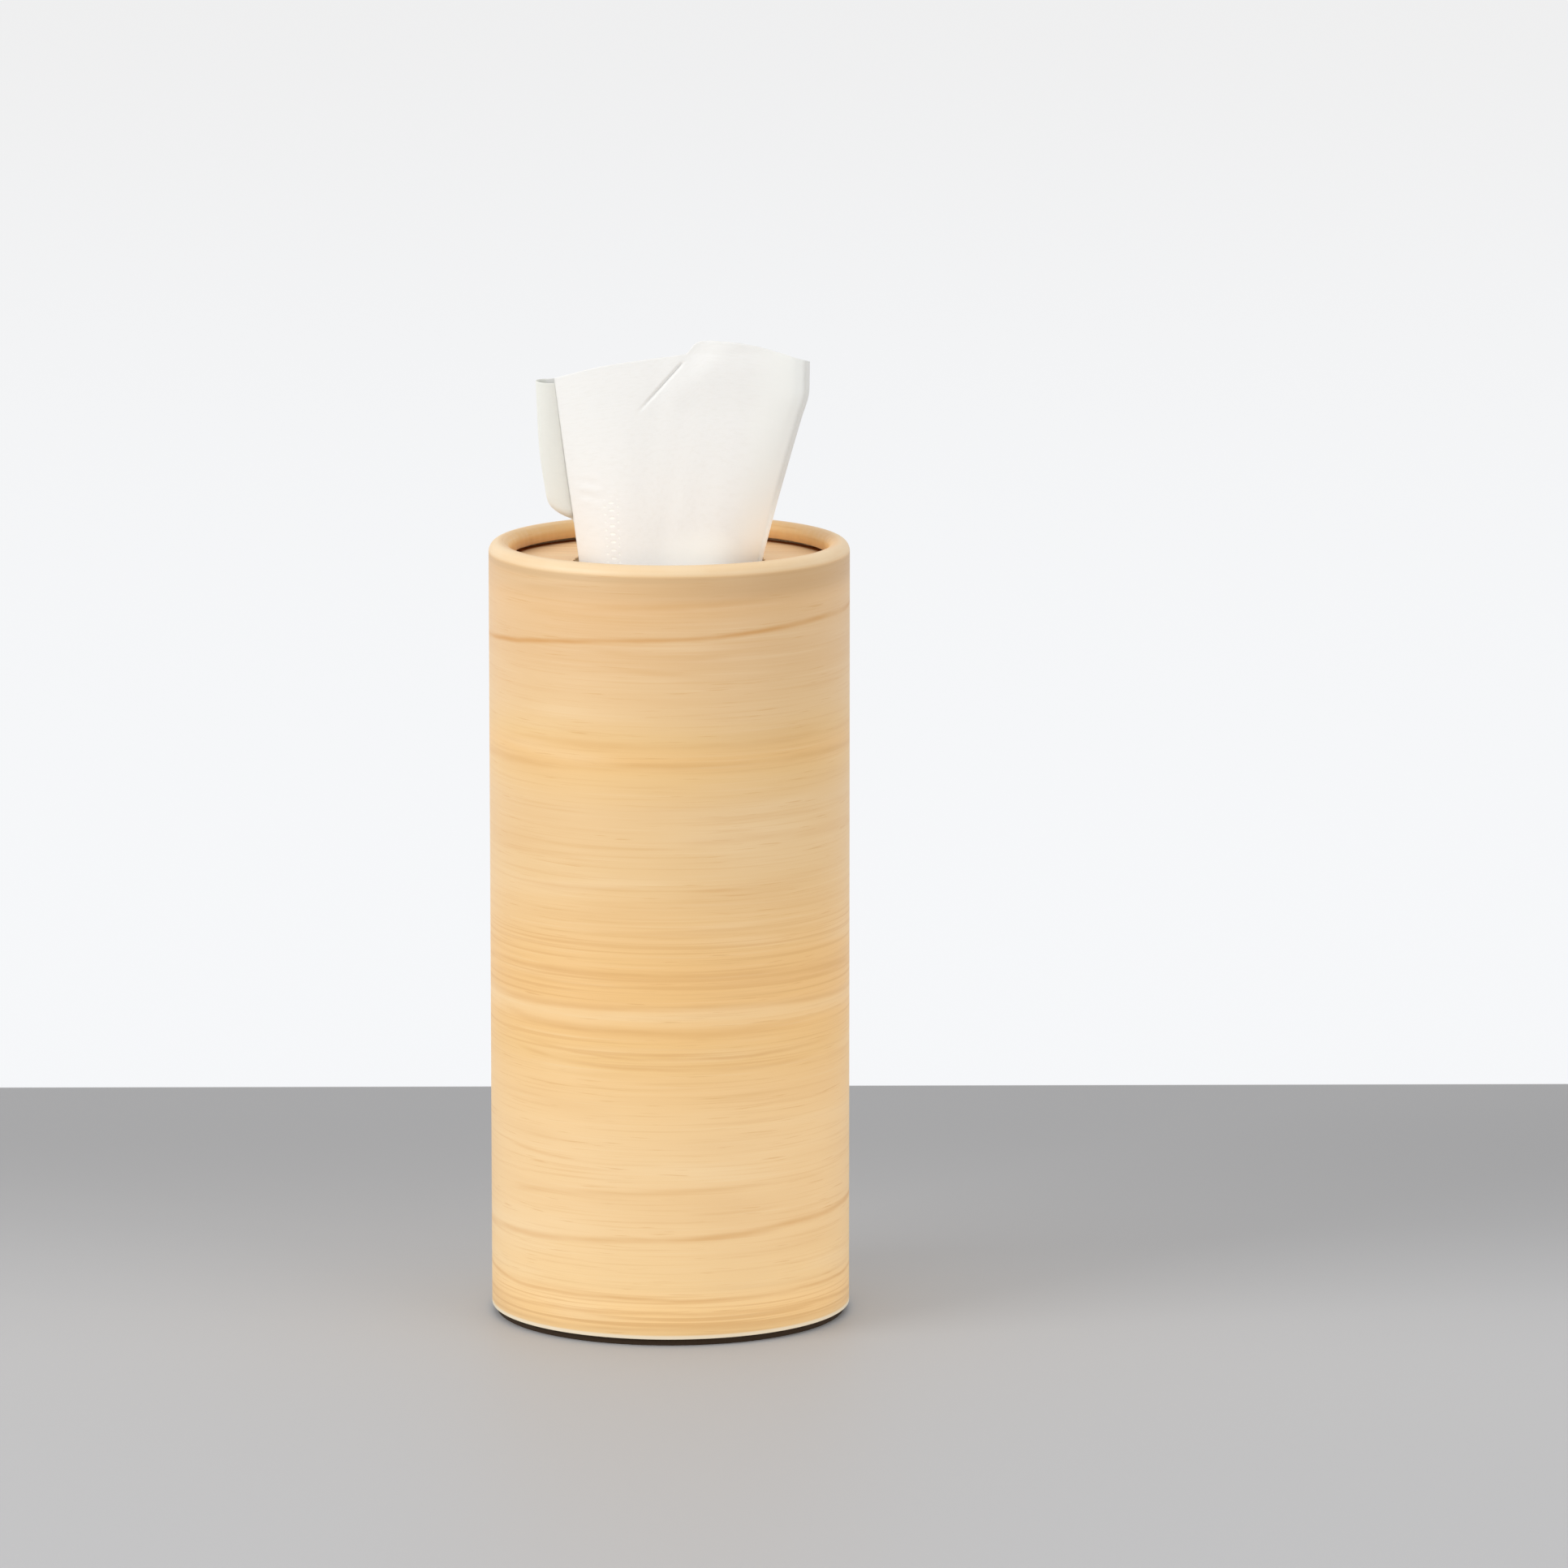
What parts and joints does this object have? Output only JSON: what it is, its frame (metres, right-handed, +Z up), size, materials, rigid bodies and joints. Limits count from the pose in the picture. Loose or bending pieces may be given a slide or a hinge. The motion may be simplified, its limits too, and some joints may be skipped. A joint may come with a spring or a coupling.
{
  "type": "cylindrical tissue box",
  "caption": "Upright paper tube with a wood-grain wrap and curled rim, whose recessed disc has a pushed-in flap and a mouth that dispenses interfolded tissues.",
  "frame": {"origin": "centre of the tube's foot, on the surface it stands on", "axes": "+Z up along the tube; the front that the picture shows faces -Y, and +X is to its right"},
  "size_m": [0.075, 0.075, 0.2051],
  "materials": {
    "printed_paper": "satin",
    "grey_board": "matte",
    "white_tissue": "matte"
  },
  "bodies": {
    "tube": {"printed_wrap": "printed_paper", "tube_core": "grey_board", "inner_sleeve": "grey_board", "top_disc_board": "grey_board", "top_disc_facing": "printed_paper", "bottom_cup": "grey_board", "tissue_sheet_01": "white_tissue", "tissue_sheet_02": "white_tissue", "tissue_sheet_03": "white_tissue", "tissue_sheet_04": "white_tissue", "tissue_sheet_05": "white_tissue", "tissue_sheet_06": "white_tissue", "tissue_sheet_07": "white_tissue", "tissue_sheet_08": "white_tissue", "tissue_sheet_09": "white_tissue", "tissue_sheet_10": "white_tissue", "tissue_sheet_11": "white_tissue", "tissue_sheet_12": "white_tissue", "tissue_sheet_13": "white_tissue", "tissue_sheet_14": "white_tissue"},
    "flap": {"flap_board": "grey_board", "flap_facing": "printed_paper"},
    "standing_sheet": {"popup_tissue": "white_tissue"},
    "following_sheet": {"next_tissue": "white_tissue"}
  },
  "joints": [
    {"name": "flap_hinge", "type": "hinge", "parent": "tube", "child": "flap", "pos_m": [0, 0.0135, 0.1571], "axis": [1, 0, 0], "range_deg": [-10, 35]},
    {"name": "tissue_pull", "type": "slide", "parent": "tube", "child": "standing_sheet", "axis": [0, 0, 1], "range_m": [0, 0.152]},
    {"name": "next_tissue_rise", "type": "slide", "parent": "tube", "child": "following_sheet", "axis": [0, 0, 1], "range_m": [0, 0.08]}
  ],
  "couplings": [
    {"joint": "next_tissue_rise", "follows": "tissue_pull", "ratio": 0.52}
  ]
}
